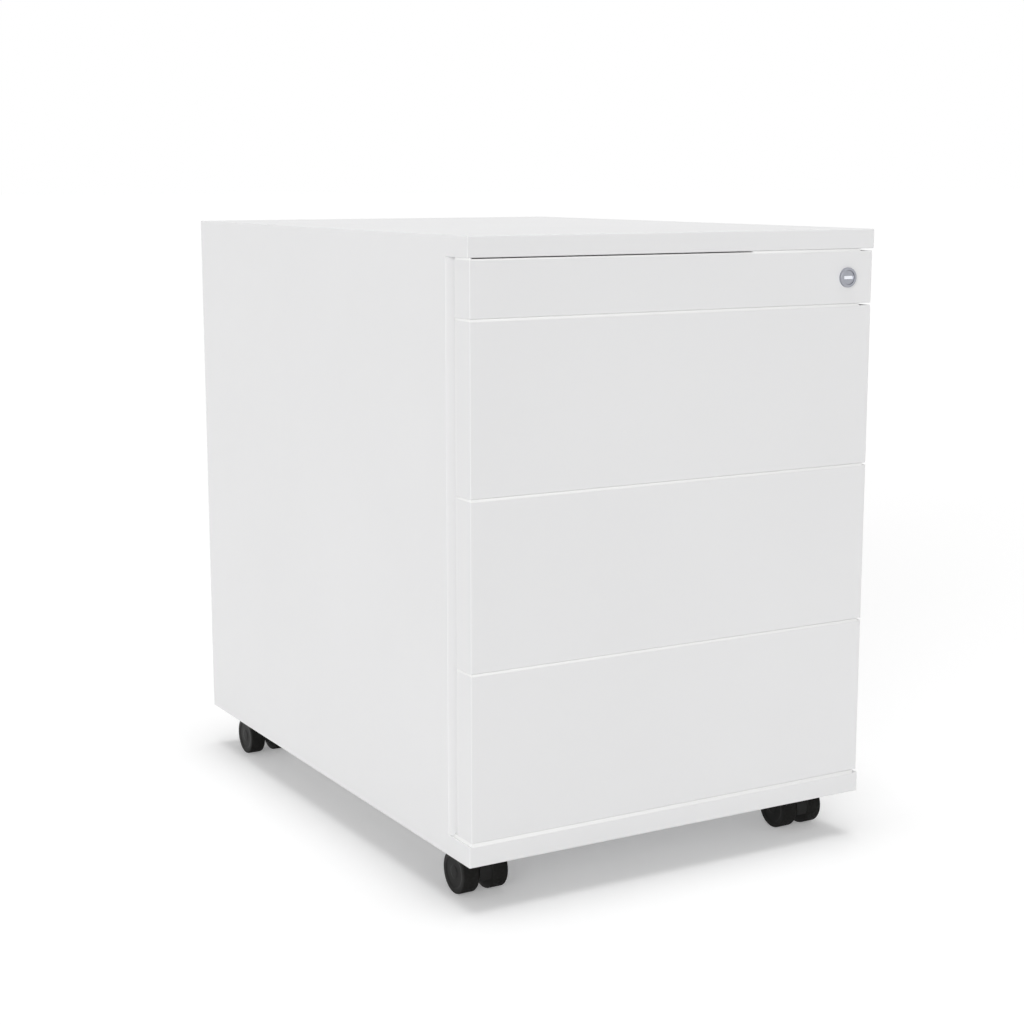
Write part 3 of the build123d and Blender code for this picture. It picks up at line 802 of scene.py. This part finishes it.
lock_nickel = nickel(
    "lock_nickel", tone=(0.41, 0.42, 0.46), shade=(0.36, 0.37, 0.41), roughness=0.46, ring_size=0.010,
)
builder = bmesh.new()
turn(builder, [
    (barrel_end, bore_radius), (0.0003, bore_radius), (0.0001, 0.0066), (0.0, 0.0068),
    (0.0, rim_radius - 0.0008), (0.0001, rim_radius - 0.0004), (0.0003, rim_radius - 0.0001),
    (0.0006, rim_radius), (rim_depth, rim_radius), (rim_depth, barrel_radius), (barrel_end, barrel_radius),
    (barrel_end, bore_radius),
], barrel_steps, about_lock)
place_piece(keep_mesh("lock_barrel", builder, lock_nickel), "pencil_drawer", "lock_nickel", "lock_housing")


def keyway(half_width, half_height):
    """The outline of the level keyway, as a radius for each angle."""
    def radius(angle):
        across, up = abs(math.cos(angle)), abs(math.sin(angle))
        return min(half_width / across, half_height / up)
    return radius


shutter_nickel = nickel(
    "shutter_nickel", tone=(0.88, 0.90, 0.95), shade=(0.85, 0.87, 0.92), roughness=0.30, ring_size=0.006,
)
plug_low, plug_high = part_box("lock_plug")
plug_face = plug_low.y - lock_low.y
plug_radius = 0.0065
plug_steps = 96
tail_end = plug_high.y - lock_low.y
tail_radius = 0.0035
keyway_depth = 0.0007
shutter = plug_face + keyway_depth
shutter_slack = 0.0001
wide_keyway = keyway(0.0053, 0.0018)
deep_keyway = keyway(0.0050, 0.0015)
builder = bmesh.new()
turn(builder, [
    (tail_end, 0), (tail_end, tail_radius), (barrel_end, tail_radius), (barrel_end, plug_radius),
    (plug_face + 0.0004, plug_radius), (plug_face + 0.0001, 0.0063), (plug_face, 0.0060),
    (plug_face, wide_keyway), (plug_face + 0.0003, deep_keyway), (shutter, deep_keyway), (shutter, 0),
], plug_steps, about_lock)
plug = keep_mesh("lock_plug_keyway", builder, lock_nickel)
plug.data.materials.append(shutter_nickel)
for polygon in plug.data.polygons:
    depths = [plug.data.vertices[i].co.y - lock_low.y for i in polygon.vertices]
    if all(abs(depth - shutter) < shutter_slack for depth in depths):
        polygon.material_index = 1
place_piece(plug, "lock_plug", "lock_nickel", "lock_plug")

plate_zinc = zinc_plate(
    "plate_zinc", tone=(0.66, 0.67, 0.68), shade=(0.55, 0.56, 0.58), streak=(1, 1, 0.04), roughness=0.36,
)
dress(plate_zinc, "lock_nut", "lock_cam")


# Locking bar: a zinc-plated strip that the cam lifts behind the right flange, in two black guides.
# Its lugs come up in front of the drawers' catches, and the strike on the flange holds the cam.
dress(plate_zinc, "lock_bar", "lock_strike")
dress(black_moulding, "lock_bar_guides")


# Castors: rails of folded steel under the base carry pressed plates, each held by four screws.
# A black nylon body swivels on each plate's pin, with a steel axle through it.
castor_nylon = moulding(
    "castor_nylon", tone=(0.0105, 0.0105, 0.0099), shade=(0.0080, 0.0080, 0.0076), roughness=0.46,
    grain_size=0.0009, grain_depth=0.00004, gloss=0.18,
)
castors = [f"{end}_{side}_castor" for end in ("front", "rear") for side in ("left", "right")]
dress(plate_zinc, "castor_rails", "castor_plates", *[f"{castor}_axle" for castor in castors])
dress(castor_nylon, *[f"{castor}_body" for castor in castors])
screws_low, screws_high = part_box("castor_screws")
screw_spacing = 0.031
seat = screws_low.z + screw_head
first_places = [
    (x, y)
    for x in (screws_low.x + screw_radius, screws_high.x - screw_radius - screw_spacing)
    for y in (screws_low.y + screw_radius, screws_high.y - screw_radius - screw_spacing)
]
seats = [
    ((x + dx, y + dy, seat), (0, 0, -1))
    for x, y in first_places for dx in (0, screw_spacing) for dy in (0, screw_spacing)
]
plate_screws = fasten("castor_plate_screws", screw_blank, seats, screw_zinc)
place_piece(plate_screws, "carcass", "zinc_steel", "castor_screws")


# Castor wheels: twin black nylon discs with a flat tread, a dished outer face and a hub cap.
# The tread is dulled by dust and fine scuffs where it rolls.
def wheel_nylon(name, tone, dust, roughness, gloss=0.11, most_dust=0.8, less=0.05, more=0.07):
    """Black nylon that turns dusty on the tread, which the wheel's own attribute marks."""
    material, tree, surface = start_material(name)
    surface.inputs["Specular IOR Level"].default_value = gloss
    place = object_place(tree)
    worn = add_node(tree, "ShaderNodeAttribute", attribute_name="tread").outputs["Fac"]
    scuff = spread_over(tree, noise(tree, place, size=0.0022, detail=5.0), 0.0, most_dust)
    dusty = add_node(tree, "ShaderNodeMath", {0: worn, 1: scuff}, operation="MULTIPLY").outputs[0]
    tree.links.new(mix_colours(tree, dusty, tone, dust), surface.inputs["Base Color"])
    grain = noise(tree, place, size=0.0008, detail=3.0)
    grained = spread_over(tree, grain, roughness - less, roughness + more)
    rough = add_node(tree, "ShaderNodeMath", {0: grained, 1: dusty}, operation="ADD").outputs[0]
    tree.links.new(rough, surface.inputs["Roughness"])
    bump_from(tree, surface, grain, strength=0.35, depth=0.00004)
    return material


wheel_material = wheel_nylon(
    "wheel_nylon", tone=(0.0105, 0.0105, 0.0099), dust=(0.0170, 0.0165, 0.0155), roughness=0.42,
)
axle_bore = 0.00305
bore_depth = 0.0165
tread_from = 0.0197
wheel_steps = 72
wheel_smooth_under = 40.0
wheel_profile = [
    (bore_depth, 0), (bore_depth, axle_bore), (0.0000, axle_bore), (0.0000, 0.0100), (0.0003, 0.0109),
    (0.0010, 0.0122), (0.0040, 0.0188), (0.0045, 0.0194), (0.0052, 0.0198), (0.0060, 0.0200),
    (0.0120, 0.0200), (0.0188, 0.0200), (0.0194, 0.0198), (0.0198, 0.0194), (0.0200, 0.0188),
    (0.0200, 0.0152), (0.0199, 0.0147), (0.0197, 0.0142), (0.0195, 0.0136), (0.0194, 0.0128),
    (0.0194, 0.0068), (0.0195, 0.0062), (0.0197, 0.0058), (0.0198, 0.0050), (0.0199, 0.0025), (0.0199, 0),
]
for castor in castors:
    for side, hand in (("left", -1), ("right", 1)):
        low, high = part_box(f"{castor}_{side}_wheel")
        inner = low.x if hand > 0 else high.x
        axle_y, axle_z = (low.y + high.y) / 2, (low.z + high.z) / 2

        def about_axle(along, radius, angle):
            """A point on a wheel turned about its axle, measured out from the web."""
            return Vector((
                inner + hand * along, axle_y + radius * math.cos(angle), axle_z + radius * math.sin(angle),
            ))

        builder = bmesh.new()
        turn(builder, wheel_profile, wheel_steps, about_axle)
        wheel = keep_mesh(f"{castor}_{side}_tyre", builder, wheel_material, wheel_smooth_under)
        tread = wheel.data.attributes.new("tread", "FLOAT", "POINT")
        for entry, vertex in zip(tread.data, wheel.data.vertices):
            reach = math.hypot(vertex.co.y - axle_y, vertex.co.z - axle_z)
            entry.value = 1.0 if reach > tread_from else 0.0
        place_piece(wheel, f"{castor}_{side}_wheel", "castor_nylon", f"{castor}_{side}_wheel")
